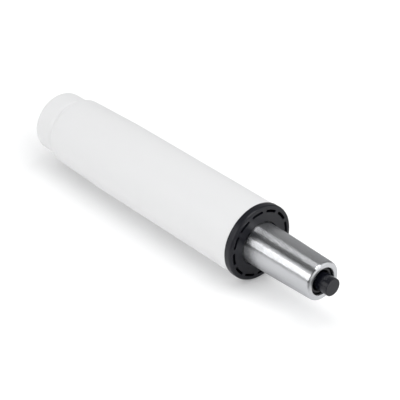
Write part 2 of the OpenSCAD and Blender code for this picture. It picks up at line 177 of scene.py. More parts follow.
@dataclass(frozen=True)
class Finish:
    """A surface finish, which makes its own node material.

    Colours are linear. Scales are patterns per metre and depths are in millimetres.
    """

    name: str
    slot: str
    colour: Colour
    patch_colour: Colour
    roughness: Pair
    grain: Grain
    grain_scale: float
    grain_depth: float
    metallic: float = 0.0
    specular: float = 0.5
    brushed: float = 0.0
    patch_scale: float = 60.0
    wave_scale: float = 0.0
    wave_depth: float = 0.0
    scuff_height: float = 0.0
    scuff_colour: Colour = (0.33, 0.33, 0.34)
    scuff_scale: float = 420.0
    noise_detail: ClassVar[float] = 3.0
    noise_fineness: ClassVar[float] = 0.55
    grain_span: ClassVar[Pair] = (0.3, 0.7)
    scuff_span: ClassVar[Pair] = (0.52, 0.6)
    line_turn: ClassVar[float] = 0.25

    def _place(self, desk: Desk) -> Socket:
        """Gives the coordinates that the grain is drawn on.

        Args:
            desk: the material's node desk.

        Returns:
            A vector socket, in metres of the object.
        """
        if self.grain is not Grain.TURNED:
            scaled = desk.add("ShaderNodeMapping", {"Vector": desk.coords(), "Scale": self.grain.value})
            return scaled.outputs["Vector"]
        point = desk.split(desk.coords())
        flat = desk.add("ShaderNodeCombineXYZ", {"X": point["X"], "Y": point["Y"]}).outputs[0]
        radius = desk.add("ShaderNodeVectorMath", {0: flat}, operation="LENGTH").outputs["Value"]
        return desk.add("ShaderNodeCombineXYZ", {"X": radius, "Z": point["Z"]}).outputs[0]

    def _noise(self, desk: Desk, place: Socket, scale: float) -> Socket:
        """Adds a noise of so many patterns per metre and gives its grey value, from 0 to 1."""
        settings = {"Vector": place, "Scale": scale, "Detail": self.noise_detail,
                    "Roughness": self.noise_fineness}
        return desk.add("ShaderNodeTexNoise", settings).outputs["Fac"]

    def _scuffed(self, desk: Desk, colour: Socket) -> Socket:
        """Rubs the rim that the piece is stood on down to its metal, in spots.

        Args:
            desk: the material's node desk.
            colour: the colour without wear.

        Returns:
            The worn colour's socket.
        """
        coords = desk.coords()
        low = desk.remap(desk.split(coords)["Z"], (0.0, self.scuff_height * MM), (1.0, 0.0))
        spot = desk.remap(self._noise(desk, coords, self.scuff_scale), self.scuff_span)
        return desk.tint(desk.math("MULTIPLY", low, spot), colour, (*self.scuff_colour, 1.0))

    def material(self) -> bpy.types.Material:
        """Gives the finish's material, made on first use.

        Returns:
            The material.
        """
        known = bpy.data.materials.get(self.name)
        if known is not None:
            return known
        made = bpy.data.materials.new(self.name)
        made.use_nodes = True
        desk = Desk(made.node_tree)
        place, coords = self._place(desk), desk.coords()
        patch = self._noise(desk, coords, self.patch_scale)
        colour = desk.tint(patch, (*self.colour, 1.0), (*self.patch_colour, 1.0))
        if self.scuff_height > 0:
            colour = self._scuffed(desk, colour)
        grain = self._noise(desk, place, self.grain_scale)
        rough = desk.remap(grain, self.grain_span, self.roughness)
        under = {}
        if self.wave_depth > 0:
            under["Normal"] = desk.bump(self._noise(desk, coords, self.wave_scale), self.wave_depth)
        normal = desk.bump(grain, self.grain_depth, **under)
        shader = desk.add("ShaderNodeBsdfPrincipled", {
            "Base Color": colour, "Metallic": self.metallic, "Roughness": rough,
            "Specular IOR Level": self.specular, "Normal": normal})
        if self.brushed > 0:
            shader.inputs["Anisotropic"].default_value = self.brushed
            shader.inputs["Anisotropic Rotation"].default_value = self.line_turn
            lines = desk.add("ShaderNodeTangent", direction_type="RADIAL", axis="Z")
            desk.tree.links.new(lines.outputs["Tangent"], shader.inputs["Tangent"])
        desk.add("ShaderNodeOutputMaterial", {"Surface": shader.outputs["BSDF"]})
        return made

    def dress(self, *nodes: str) -> None:
        """Puts the finish on CAD nodes that keep their own mesh.

        Args:
            nodes: names of the nodes.
        """
        for name in nodes:
            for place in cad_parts[name].material_slots:
                place.material = self.material()
            log.info("%s keeps its mesh, in %s", name, self.name)


POWDER_COAT = Finish(
    name="satin_white_powder_coat", slot="column_paint", colour=(0.775, 0.775, 0.775),
    patch_colour=(0.77, 0.77, 0.775), roughness=(0.34, 0.44), grain=Grain.SPRAYED, grain_scale=1100.0,
    grain_depth=0.006, specular=0.4, patch_scale=35.0, scuff_height=0.5)
MOULDED_BLACK = Finish(
    name="satin_black_moulding", slot="black_plastic", colour=(0.005, 0.0055, 0.0095),
    patch_colour=(0.007, 0.0075, 0.0115), roughness=(0.28, 0.36), grain=Grain.MOULDED, grain_scale=2600.0,
    grain_depth=0.003)
BUTTON_BLACK = Finish(
    name="satin_button_moulding", slot="button_plastic", colour=(0.004, 0.0045, 0.0085),
    patch_colour=(0.006, 0.0065, 0.0105), roughness=(0.2, 0.26), grain=Grain.MOULDED, grain_scale=3200.0,
    grain_depth=0.003, specular=0.58)
BRIGHT_CHROME = Finish(
    name="bright_chrome", slot="chrome", colour=(0.85, 0.86, 0.885), patch_colour=(0.82, 0.83, 0.855),
    roughness=(0.235, 0.265), grain=Grain.GROUND, grain_scale=4200.0, grain_depth=0.0002, metallic=1.0,
    brushed=1.0, wave_scale=200.0, wave_depth=0.15)
ZINC_PLATE = Finish(
    name="zinc_plated_steel", slot="zinc_steel", colour=(0.62, 0.63, 0.65), patch_colour=(0.52, 0.53, 0.54),
    roughness=(0.3, 0.42), grain=Grain.TURNED, grain_scale=2400.0, grain_depth=0.004, metallic=1.0,
    patch_scale=160.0)
BEARING_STEEL = Finish(
    name="ground_bearing_steel", slot="bearing_steel", colour=(0.68, 0.68, 0.7),
    patch_colour=(0.62, 0.62, 0.64), roughness=(0.12, 0.2), grain=Grain.TURNED, grain_scale=3600.0,
    grain_depth=0.001, metallic=1.0)
SPRING_STEEL = Finish(
    name="phosphated_spring_steel", slot="spring_steel", colour=(0.17, 0.17, 0.18),
    patch_colour=(0.11, 0.11, 0.115), roughness=(0.42, 0.55), grain=Grain.SPRAYED, grain_scale=2200.0,
    grain_depth=0.006, metallic=1.0, patch_scale=240.0)
CAGE_BRASS = Finish(
    name="stamped_cage_brass", slot="cage_brass", colour=(0.72, 0.53, 0.26), patch_colour=(0.6, 0.43, 0.2),
    roughness=(0.28, 0.4), grain=Grain.SPRAYED, grain_scale=1500.0, grain_depth=0.004, metallic=1.0,
    patch_scale=200.0)
VALVE_BRASS = Finish(
    name="turned_valve_brass", slot="valve_brass", colour=(0.74, 0.57, 0.3), patch_colour=(0.66, 0.5, 0.26),
    roughness=(0.22, 0.34), grain=Grain.TURNED, grain_scale=3000.0, grain_depth=0.004, metallic=1.0)
TURNED_ALUMINIUM = Finish(
    name="turned_aluminium", slot="aluminium", colour=(0.75, 0.75, 0.76), patch_colour=(0.69, 0.69, 0.7),
    roughness=(0.26, 0.38), grain=Grain.TURNED, grain_scale=2600.0, grain_depth=0.005, metallic=1.0)
BLACK_RUBBER = Finish(
    name="moulded_black_rubber", slot="black_rubber", colour=(0.018, 0.018, 0.018),
    patch_colour=(0.03, 0.03, 0.03), roughness=(0.68, 0.85), grain=Grain.MOULDED, grain_scale=1900.0,
    grain_depth=0.02, specular=0.25, patch_scale=220.0)


class Corner(NamedTuple):
    """One corner of a half section: radius, height, and the rounding that eases it."""

    r: float
    z: float
    round: float = 0.0


@dataclass
class Section:
    """Half section of a turned piece, as corners in order round it."""

    corners: list[Corner]
    closed: bool = True
    arc_turn: ClassVar[float] = math.radians(15)
    guard: ClassVar[float] = 0.25
    room: ClassVar[float] = 0.48
    least_steps: ClassVar[int] = 2
    long_run: ClassVar[float] = 1.0

    @classmethod
    def of(cls, edge: float, *corners: tuple, closed: bool = True) -> "Section":
        """Makes a section of corners, each with its own rounding or else the edge's."""
        return cls([Corner(r, z, *(own or (edge,))) for r, z, *own in corners], closed)

    def _eased(self, before: Corner, corner: Corner, after: Corner) -> list[Pair]:
        """Replaces a corner by an arc that its two sides have room for.

        Args:
            before: the corner before.
            corner: the corner to ease.
            after: the corner after.

        Returns:
            Points of the arc.
        """
        tip = Vector((corner.r, corner.z))
        back = Vector((before.r, before.z)) - tip
        ahead = Vector((after.r, after.z)) - tip
        half = back.angle(ahead) / 2
        reach = min(corner.round / math.tan(half), self.room * back.length, self.room * ahead.length)
        radius = reach * math.tan(half)
        middle = tip + (back.normalized() + ahead.normalized()).normalized() * (radius / math.sin(half))
        start = tip + back.normalized() * reach - middle
        end = tip + ahead.normalized() * reach - middle
        turn = math.atan2(start.x * end.y - start.y * end.x, start.dot(end))
        steps = max(self.least_steps, math.ceil(abs(turn) / self.arc_turn))
        points = []
        for step in range(steps + 1):
            spun = Matrix.Rotation(turn * step / steps, 2) @ start
            points.append((middle.x + spun.x, middle.y + spun.y))
        return points

    def outline(self) -> list[Pair]:
        """Works out the section's points, with a guard point by each end of a long straight.

        Returns:
            Radius and height of each point. A closed section ends where it starts.
        """
        count = len(self.corners)
        points: list[Pair] = []
        for number, corner in enumerate(self.corners):
            inner = self.closed or 0 < number < count - 1
            if corner.round > 0 and inner:
                points += self._eased(self.corners[number - 1], corner, self.corners[(number + 1) % count])
            else:
                points.append((corner.r, corner.z))
        if self.closed:
            points.append(points[0])
        guarded = [points[0]]
        for start, end in zip(points, points[1:]):
            run = math.dist(start, end)
            if run > self.long_run:
                for share in (self.guard / run, 1 - self.guard / run):
                    guarded.append(tuple(here + (there - here) * share for here, there in zip(start, end)))
            guarded.append(end)
        return guarded


@dataclass(frozen=True)
class Extent:
    """Reach of a CAD node, in millimetres."""

    r: float
    foot: float
    top: float

    @classmethod
    def of(cls, node: str) -> "Extent":
        """Reads the reach of a node from the frame."""
        low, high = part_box(node)
        return cls(high.x / MM, low.z / MM, high.z / MM)


def hold(name: str, data: bpy.types.ID) -> Piece:
    """Puts a mesh, a light or a camera into the scene.

    Args:
        name: name of the object.
        data: what the object holds.

    Returns:
        The object.
    """
    held = bpy.data.objects.new(name, data)
    bpy.context.scene.collection.objects.link(held)
    return held


class GeometryTree:
    """A geometry node group with named inputs that a modifier sets by identifier."""

    def __init__(self, name: str, inputs: dict[str, str]) -> None:
        """Makes the group and its sockets.

        Args:
            name: name of the group.
            inputs: socket type of each named input.
        """
        self.group = bpy.data.node_groups.new(name, "GeometryNodeTree")
        self.desk = Desk(self.group)
        self.keys: dict[str, str] = {}
        for label, kind in {"Geometry": "NodeSocketGeometry", **inputs}.items():
            socket = self.group.interface.new_socket(name=label, in_out="INPUT", socket_type=kind)
            self.keys[label] = socket.identifier
        self.group.interface.new_socket(name="Geometry", in_out="OUTPUT", socket_type="NodeSocketGeometry")
        self.inputs = self.desk.add("NodeGroupInput").outputs

    def close(self, geometry: Socket) -> None:
        """Ends the group by realizing what is left of its copies and giving them the finish.

        Args:
            geometry: what the group has made.
        """
        real = self.desk.add("GeometryNodeRealizeInstances", {"Geometry": geometry}).outputs[0]
        dressed = {"Geometry": real, "Material": self.inputs["Finish"]}
        ended = self.desk.add("GeometryNodeSetMaterial", dressed).outputs[0]
        self.desk.add("NodeGroupOutput", {"Geometry": ended})

    def run(self, holder: Piece, values: dict[str, Value]) -> None:
        """Runs the group on an object and leaves a plain mesh.

        Args:
            holder: the object to work on.
            values: value of each named input.
        """
        modifier = holder.modifiers.new(self.group.name, "NODES")
        modifier.node_group = self.group
        for label, value in values.items():
            modifier[self.keys[label]] = value
        graph = bpy.context.evaluated_depsgraph_get()
        made = bpy.data.meshes.new_from_object(holder.evaluated_get(graph), depsgraph=graph)
        holder.modifiers.clear()
        spent, holder.data = holder.data, made
        bpy.data.meshes.remove(spent)
        made.name = holder.name


class Workshop:
    """Makes turned pieces and rings of cuts or copies with geometry nodes."""

    def __init__(self) -> None:
        """Builds the node groups that the pieces share."""
        self.spin = self._spin_tree()
        self.rings = {work: self._ring_tree(work) for work in RingWork}

    @staticmethod
    def _spin_tree() -> GeometryTree:
        """Builds the group that turns a half section round the Z axis.

        Returns:
            The group.
        """
        tree = GeometryTree("spin_section", {
            "Section": "NodeSocketObject", "Rows": "NodeSocketInt", "Steps": "NodeSocketInt",
            "Finish": "NodeSocketMaterial"})
        desk, inputs = tree.desk, tree.inputs
        columns = desk.math("ADD", inputs["Steps"], 1.0)
        grid = desk.add("GeometryNodeMeshGrid", {"Vertices X": columns, "Vertices Y": inputs["Rows"]})
        number = desk.add("GeometryNodeInputIndex").outputs[0]
        row = desk.math("MODULO", number, inputs["Rows"])
        column = desk.math("FLOOR", desk.math("DIVIDE", number, inputs["Rows"]))
        section = desk.add("GeometryNodeObjectInfo", {"Object": inputs["Section"]}).outputs["Geometry"]
        place = desk.add("GeometryNodeInputPosition").outputs[0]
        sampled = desk.add("GeometryNodeSampleIndex", {"Geometry": section, "Index": row},
                           data_type="FLOAT_VECTOR", domain="POINT")
        taken = next(each for each in sampled.inputs if each.name == "Value" and each.enabled)
        desk.tree.links.new(place, taken)
        point = desk.split(next(each for each in sampled.outputs if each.enabled))
        angle = desk.math("DIVIDE", desk.math("MULTIPLY", column, math.tau), inputs["Steps"])
        spun = {"X": desk.math("MULTIPLY", point["X"], desk.math("COSINE", angle)),
                "Y": desk.math("MULTIPLY", point["X"], desk.math("SINE", angle)), "Z": point["Z"]}
        target = desk.add("ShaderNodeCombineXYZ", spun).outputs[0]
        moved = desk.add("GeometryNodeSetPosition", {"Geometry": grid.outputs["Mesh"], "Position": target})
        joined = {"Geometry": moved.outputs[0], "Distance": WELD_REACH}
        closed = desk.add("GeometryNodeMergeByDistance", joined).outputs[0]
        tree.close(desk.add("GeometryNodeSetShadeSmooth", {"Geometry": closed}).outputs[0])
        return tree

    @staticmethod
    def _ring_tree(work: RingWork) -> GeometryTree:
        """Builds the group that sets copies of an object round the Z axis.

        Args:
            work: whether the copies are cut from the piece or stand for it.

        Returns:
            The group.
        """
        tree = GeometryTree(f"ring_of_{work.value}", {
            "Copied": "NodeSocketObject", "Count": "NodeSocketInt", "Phase": "NodeSocketFloat",
            "Finish": "NodeSocketMaterial"})
        desk, inputs = tree.desk, tree.inputs
        points = desk.add("GeometryNodePoints", {"Count": inputs["Count"]}).outputs[0]
        share = desk.math("DIVIDE", desk.add("GeometryNodeInputIndex").outputs[0], inputs["Count"])
        angle = desk.math("ADD", desk.math("MULTIPLY", share, math.tau), inputs["Phase"])
        turn = desk.add("FunctionNodeAxisAngleToRotation", {"Axis": (0.0, 0.0, 1.0), "Angle": angle})
        copied = desk.add("GeometryNodeObjectInfo", {"Object": inputs["Copied"]}).outputs["Geometry"]
        copies = desk.add("GeometryNodeInstanceOnPoints", {
            "Points": points, "Instance": copied, "Rotation": turn.outputs[0]}).outputs[0]
        if work is RingWork.COPY:
            tree.close(copies)
            return tree
        cutters = desk.add("GeometryNodeRealizeInstances", {"Geometry": copies}).outputs[0]
        cut = desk.add("GeometryNodeMeshBoolean", {"Mesh 1": inputs["Geometry"], "Mesh 2": cutters},
                       operation="DIFFERENCE", solver="EXACT")
        tree.close(cut.outputs["Mesh"])
        return tree

    @staticmethod
    def drop(helper: Piece) -> None:
        """Removes a helper object and its mesh.

        Args:
            helper: the object.
        """
        mesh = helper.data
        bpy.data.objects.remove(helper)
        bpy.data.meshes.remove(mesh)

    @staticmethod
    def smooth(piece: Piece) -> None:
        """Turns a piece's faces outwards and shades it smooth up to its sharp edges.

        Args:
            piece: the object, with a closed mesh.
        """
        work = bmesh.new()
        work.from_mesh(piece.data)
        bmesh.ops.recalc_face_normals(work, faces=work.faces)
        work.to_mesh(piece.data)
        work.free()
        piece.data.shade_smooth()
        piece.data.set_sharp_from_angle(angle=SHARP_ANGLE)

    def turn(self, name: str, section: Section, finish: Finish, steps: int = ROUND_STEPS) -> Piece:
        """Turns a piece from its half section.

        Args:
            name: name of the piece.
            section: the half section, in millimetres.
            finish: the piece's finish.
            steps: faces round the piece.

        Returns:
            The piece, at the origin with its place in its mesh.
        """
        outline = section.outline()
        profile = bpy.data.meshes.new("section")
        profile.from_pydata([(r * MM, 0.0, z * MM) for r, z in outline], [], [])
        guide = hold("section", profile)
        piece = hold(name, bpy.data.meshes.new(name))
        self.spin.run(piece, {"Section": guide, "Rows": len(outline), "Steps": steps,
                              "Finish": finish.material()})
        self.drop(guide)
        self.smooth(piece)
        return piece

    def ring(self, work: RingWork, piece: Piece, copied: Piece, count: int,
             phase: float, finish: Finish) -> None:
        """Cuts copies of a helper out of a piece round the axis, or puts them in its place.

        Args:
            work: what to do with the copies.
            piece: the piece to work on.
            copied: the helper, with its place on the ring in its mesh. It is removed afterwards.
            count: number of copies.
            phase: turn of the first copy, in degrees.
            finish: the piece's finish.
        """
        self.rings[work].run(piece, {"Copied": copied, "Count": count, "Phase": math.radians(phase),
                                     "Finish": finish.material()})
        self.drop(copied)
        self.smooth(piece)


def baked(work: bmesh.types.BMesh, name: str) -> Piece:
    """Turns a bmesh into a helper object and frees it.

    Args:
        work: the finished bmesh.
        name: name of the object and its mesh.

    Returns:
        The object.
    """
    made = bpy.data.meshes.new(name)
    work.to_mesh(made)
    work.free()
    return hold(name, made)


@dataclass
class ArcSlot:
    """Cutter for a slot that follows a circle about the axis."""

    middle_r: float
    width: float
    length: float
    levels: list[Pair]
    end_steps: int = 6
    side_steps: int = 8

    def _stations(self, spread: float) -> list[Pair]:
        """Works out angle and half width along the slot, from tip to tip.

        Args:
            spread: how far the slot's outline is moved outwards.

        Returns:
            Angle in radians and half width at each station between the tips.
        """
        half = self.width / 2 + spread
        straight = (self.length - self.width) / 2 / self.middle_r
        cap = half / self.middle_r
        stations = []
        for step in range(self.end_steps + 1):
            turn = math.pi / 2 * step / self.end_steps
            stations.append((-straight - cap * math.cos(turn), half * math.sin(turn)))
        for step in range(1, self.side_steps):
            stations.append((straight * (2 * step / self.side_steps - 1), half))
        return stations + [(-angle, wide) for angle, wide in reversed(stations[:self.end_steps + 1])]

    def cutter(self) -> Piece:
        """Builds the cutter as a closed solid through its levels.

        Returns:
            The cutter's object, with the slot's middle on the X axis.
        """
        work = bmesh.new()
        rings = []
        for height, spread in self.levels:
            stations = self._stations(spread)
            outer, inner = [], []
            for angle, wide in stations:
                for side, line in ((1, outer), (-1, inner)):
                    r = (self.middle_r + side * wide) * MM
                    line.append((r * math.cos(angle), r * math.sin(angle), height * MM))
            loop = outer + inner[-2:0:-1]
            rings.append([work.verts.new(point) for point in loop])
        size = len(rings[0])
        for low, high in zip(rings, rings[1:]):
            for spot in range(size):
                after = (spot + 1) % size
                work.faces.new((low[spot], low[after], high[after], high[spot]))
        last = size // 2
        for ring in (rings[0], rings[-1]):
            work.faces.new((ring[0], ring[1], ring[-1]))
            for spot in range(1, last - 1):
                work.faces.new((ring[spot], ring[spot + 1], ring[size - spot - 1], ring[size - spot]))
            work.faces.new((ring[last - 1], ring[last], ring[last + 1]))
        bmesh.ops.recalc_face_normals(work, faces=work.faces)
        return baked(work, "arc_slot")


def fasten(piece: Piece, body: Body, finish: Finish, *nodes: str) -> None:
    """Hands a finished piece to the frame and reports it.

    Args:
        piece: the finished piece.
        body: the body that it rides on.
        finish: the finish that it carries.
        nodes: CAD nodes that it stands for.
    """
    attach(piece, body.value)
    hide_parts(*nodes)
    log.info("%s: %d faces on %s, in %s", piece.name, len(piece.data.polygons), body.value, finish.name)


@dataclass
class Assembly:
    """A sub-assembly of the lift, with its workshop and the sizes that it shares with its neighbours."""

    shop: Workshop
    fit: float = 0.05
    slide: float = 0.08
    spigot_r: float = 4.0
    button_r: float = 5.85

    def make(self, name: str, section: Section, finish: Finish, body: Body, node: str,
             steps: int = ROUND_STEPS) -> None:
        """Turns a piece and hands it to the frame."""
        fasten(self.shop.turn(name, section, finish, steps), body, finish, node)


@dataclass
class StandColumn(Assembly):
    """The painted column with its slotted guide bush and its base plate."""

    wall: float = 1.5
    cone_top: float = 66.0
    cone_slope: float = 0.025
    cone_ease: float = 150.0
    foot_r: float = 21.4
    foot_round: float = 2.8
    foot_turn: float = 4.4
    groove_z: float = 16.8
    groove_depth: float = 0.8
    groove_low: float = 2.6
    groove_high: float = 5.0
    flank_steps: int = 12
    rim_round: float = 0.35
    collar_round: float = 1.3
    collar_heel: float = 0.5
    mouth_w: float = 0.8
    mouth_depth: float = 2.0
    slot_count: int = 12
    slot_w: float = 1.8
    slot_inset: float = 3.15
    slot_phase: float = 6.0
    slot_flare: float = 0.06
    rib: float = 2.7
    skin: float = 0.6
    sleeve: float = 3.6
    over: float = 1.0
    plate_skirt: float = 2.6
    plate_t: float = 3.5
    plate_bend: float = 1.5
    edge: float = 0.25
    tube_steps: int = 160
    bush_steps: int = 144

    def __post_init__(self) -> None:
        """Reads the column's reach from the frame."""
        self.tube = Extent.of("column_tube")
        self.bush = Extent.of("guide_bush")
        self.plate = Extent.of("base_plate")
        self.bore_r = Extent.of("gas_cylinder").r + self.slide

    def _side(self, inset: float) -> list[Corner]:
        """Works out the tube's side above the foot's rounding, moved inwards.

        Args:
            inset: how far inwards.

        Returns:
            Corners from the foot ring up to the base cone's upper end.
        """
        cone_foot = self.groove_z + self.groove_high
        groove = Corner(self.foot_r - self.groove_depth, self.groove_z)
        flanks = ((Corner(self.foot_r, self.groove_z - self.groove_low), groove),
                  (groove, Corner(self.tube.r - self.cone_slope * (self.cone_top - cone_foot), cone_foot)))
        corners = []
        for start, end in flanks:
            for step in range(1 if corners else 0, self.flank_steps + 1):
                share = step / self.flank_steps
                ease = (1 - math.cos(math.pi * share)) / 2
                corners.append(Corner(start.r + (end.r - start.r) * ease - inset,
                                      start.z + (end.z - start.z) * share))
        return corners + [Corner(self.tube.r - inset, self.cone_top, self.cone_ease)]

    def build_tube(self) -> None:
        """Turns the painted tube with its cone, groove and turned-in foot."""
        lip_r, inner_r = self.foot_r - self.foot_turn, self.tube.r - self.wall
        self.make("painted_column", Section.of(
            self.rim_round, (lip_r, 0.0), (self.foot_r, 0.0, self.foot_round), *self._side(0.0),
            (self.tube.r, self.tube.top), (inner_r, self.tube.top), *self._side(self.wall)[::-1],
            (self.foot_r - self.wall, self.wall, self.foot_round - self.wall), (lip_r, self.wall)),
            POWDER_COAT, Body.COLUMN, "column_tube", self.tube_steps)

    def build_bush(self) -> None:
        """Turns the guide bush and cuts its slots and the pockets under them."""
        bush_r = self.tube.r - self.wall - self.fit
        foot, top, seat = self.bush.foot, self.bush.top, self.tube.top
        bush = self.shop.turn("slotted_guide_bush", Section.of(
            self.edge, (self.bore_r, foot), (bush_r, foot), (bush_r, seat, 0.0),
            (self.bush.r, seat, self.collar_heel), (self.bush.r, top, self.collar_round),
            (self.bore_r + self.mouth_w, top), (self.bore_r, top - self.mouth_depth)),
            MOULDED_BLACK, self.bush_steps)
        pocket_in, pocket_out = self.bore_r + self.sleeve, bush_r - self.skin
        pocket_levels = [(foot - self.over, 0.0), (seat, 0.0)]
        flare = self.slot_flare
        slot_levels = [(seat - self.over, 0.0), (top - flare, 0.0), (top, flare),
                       (top + self.over, flare + self.over)]
        middle = self.slot_phase + HALF_TURN / self.slot_count
        for r, width, levels in (((pocket_in + pocket_out) / 2, pocket_out - pocket_in, pocket_levels),
                                 (self.tube.r - self.slot_inset, self.slot_w, slot_levels)):
            slot = ArcSlot(r, width, math.tau * r / self.slot_count - self.rib, levels)
            self.shop.ring(RingWork.CUT, bush, slot.cutter(), self.slot_count, middle, MOULDED_BLACK)
        fasten(bush, Body.COLUMN, MOULDED_BLACK, "guide_bush")

    def build_plate(self) -> None:
        """Turns the base plate that the foot's lip and the groove hold."""
        plate = self.plate
        bevel = self.foot_round - self.wall + self.fit
        skirt_r, bore_r = plate.r - self.plate_skirt, self.spigot_r + self.slide
        under = plate.top - self.plate_t
        self.make("pressed_base_plate", Section.of(
            self.edge, (bore_r, plate.top), (plate.r - bevel, plate.top), (plate.r, plate.top - bevel),
            (plate.r, plate.foot + bevel), (plate.r - bevel, plate.foot), (skirt_r, plate.foot),
            (skirt_r, under, self.plate_bend), (bore_r, under)), ZINC_PLATE, Body.COLUMN, "base_plate")

    def build(self) -> None:
        """Makes the column's pieces, in order."""
        self.build_tube()
        self.build_bush()
        self.build_plate()

    def dress(self) -> None:
        """Gives the column's CAD nodes their finish."""
        BEARING_STEEL.dress("lower_race")


@dataclass
class ThrustBearing(Assembly):
    """The cage and balls that the seat swivels on."""

    ball_count: int = 10
    ball_circle_r: float = 9.2
    ball_clear: float = 0.1
    cage_wall: float = 0.6
    edge: float = 0.15
    pocket_reach: float = 4.0
    pocket_steps: int = 40
    ball_steps: tuple[int, int] = (28, 18)

    def __post_init__(self) -> None:
        """Reads the bearing's reach from the frame."""
        balls = Extent.of("bearing_balls")
        self.ball_r = (balls.top - balls.foot) / 2
        middle = (balls.top + balls.foot) / 2
        self.seat = Matrix.Translation((self.ball_circle_r * MM, 0.0, middle * MM))
        self.cage = Extent.of("ball_cage")

    def build_cage(self) -> None:
        """Turns the cage and cuts a pocket for each ball."""
        pocket_r = self.ball_r + self.ball_clear
        half = pocket_r + self.cage_wall
        inner, outer = self.ball_circle_r - half, self.ball_circle_r + half
        foot, top = self.cage.foot, self.cage.top
        section = Section.of(self.edge, (inner, foot), (outer, foot), (outer, top), (inner, top))
        cage = self.shop.turn("stamped_ball_cage", section, CAGE_BRASS)
        work = bmesh.new()
        bmesh.ops.create_cone(
            work, cap_ends=True, segments=self.pocket_steps, radius1=pocket_r * MM, radius2=pocket_r * MM,
            depth=self.pocket_reach * pocket_r * MM, matrix=self.seat)
        self.shop.ring(RingWork.CUT, cage, baked(work, "ball_pocket"), self.ball_count, 0.0, CAGE_BRASS)
        fasten(cage, Body.BEARING, CAGE_BRASS, "ball_cage")

    def build_balls(self) -> None:
        """Turns one ball and sets its copies round the ring."""
        around, along = self.ball_steps
        turns = [math.pi * step / along for step in range(along + 1)]
        arc = [Corner(self.ball_r * math.sin(turn), -self.ball_r * math.cos(turn)) for turn in turns]
        ball = self.shop.turn("ball", Section(arc, closed=False), BEARING_STEEL, around)
        ball.data.transform(self.seat)
        ball_set = hold("bearing_ball_set", bpy.data.meshes.new("bearing_ball_set"))
        self.shop.ring(RingWork.COPY, ball_set, ball, self.ball_count, 0.0, BEARING_STEEL)
        fasten(ball_set, Body.BEARING, BEARING_STEEL, "bearing_balls")

    def build(self) -> None:
        """Makes the bearing's pieces, in order."""
        self.build_cage()
        self.build_balls()

    def dress(self) -> None:
        """Gives the bearing's upper race its finish."""
        BEARING_STEEL.dress("upper_race")


@dataclass
class RodAndPiston(Assembly):
    """The piston rod with its foot fastening, buffer and piston."""

    rod_r: float = 5.0
    neck_r: float = 3.0
    piston_spigot_r: float = 3.5
    lobes: int = 2
    waist: float = 1.6
    lobe_steps: int = 24
    edge: float = 0.2

    def __post_init__(self) -> None:
        """Reads the reach of the rod's pieces from the frame."""
        self.rod = Extent.of("piston_rod")
        self.washer = Extent.of("rod_washer")
        self.buffer = Extent.of("rubber_buffer")

    def build_rod(self) -> None:
        """Turns the rod with the clip's groove in its foot and a spigot for the piston."""
        foot, top, step = self.rod.foot, self.rod.top, self.buffer.foot
        low, high = Extent.of("retaining_clip").foot - self.fit, self.washer.foot + self.fit
        piston_foot = Extent.of("piston_washer").foot
        spigot, neck, tip = self.spigot_r, self.neck_r, self.piston_spigot_r
        bevel = (spigot - neck) / 2
        self.make("piston_shaft", Section.of(
            self.edge, (0.0, foot, 0.0), (spigot - bevel, foot), (spigot, foot + bevel), (spigot, low),
            (neck, low), (neck, high), (spigot, high), (spigot, step), (self.rod_r, step),
            (self.rod_r, piston_foot), (tip, piston_foot), (tip, top - bevel), (tip - bevel, top),
            (0.0, top, 0.0), closed=False), BRIGHT_CHROME, Body.ROD, "piston_rod")

    def build_washer(self) -> None:
        """Turns the washer under the base plate."""
        inner, outer, foot, top = self.spigot_r + self.fit, self.washer.r, self.washer.foot, self.washer.top
        section = Section.of(self.edge, (inner, foot), (outer, foot), (outer, top), (inner, top))
        self.make("rod_foot_washer", section, ZINC_PLATE, Body.ROD, "rod_washer")

    def build_buffer(self) -> None:
        """Turns the two-lobed rubber buffer."""
        bore_r, foot, top = self.rod_r + self.fit, self.buffer.foot, self.buffer.top
        side = []
        for step in range(self.lobe_steps + 1):
            share = step / self.lobe_steps
            swell = (1 + math.cos(math.tau * self.lobes * share)) / 2
            side.append(Corner(self.buffer.r - self.waist * swell, foot + (top - foot) * share))
        section = Section.of(self.edge, (bore_r, foot), *side, (bore_r, top))
        self.make("landing_buffer", section, BLACK_RUBBER, Body.ROD, "rubber_buffer")

    def build(self) -> None:
        """Makes the rod's pieces, in order."""
        self.build_rod()
        self.build_washer()
        self.build_buffer()

    def dress(self) -> None:
        """Gives the rod's CAD nodes their finishes."""
        SPRING_STEEL.dress("retaining_clip")
        ZINC_PLATE.dress("piston_washer", "piston_nut")
        TURNED_ALUMINIUM.dress("piston")
        BLACK_RUBBER.dress("piston_seal")


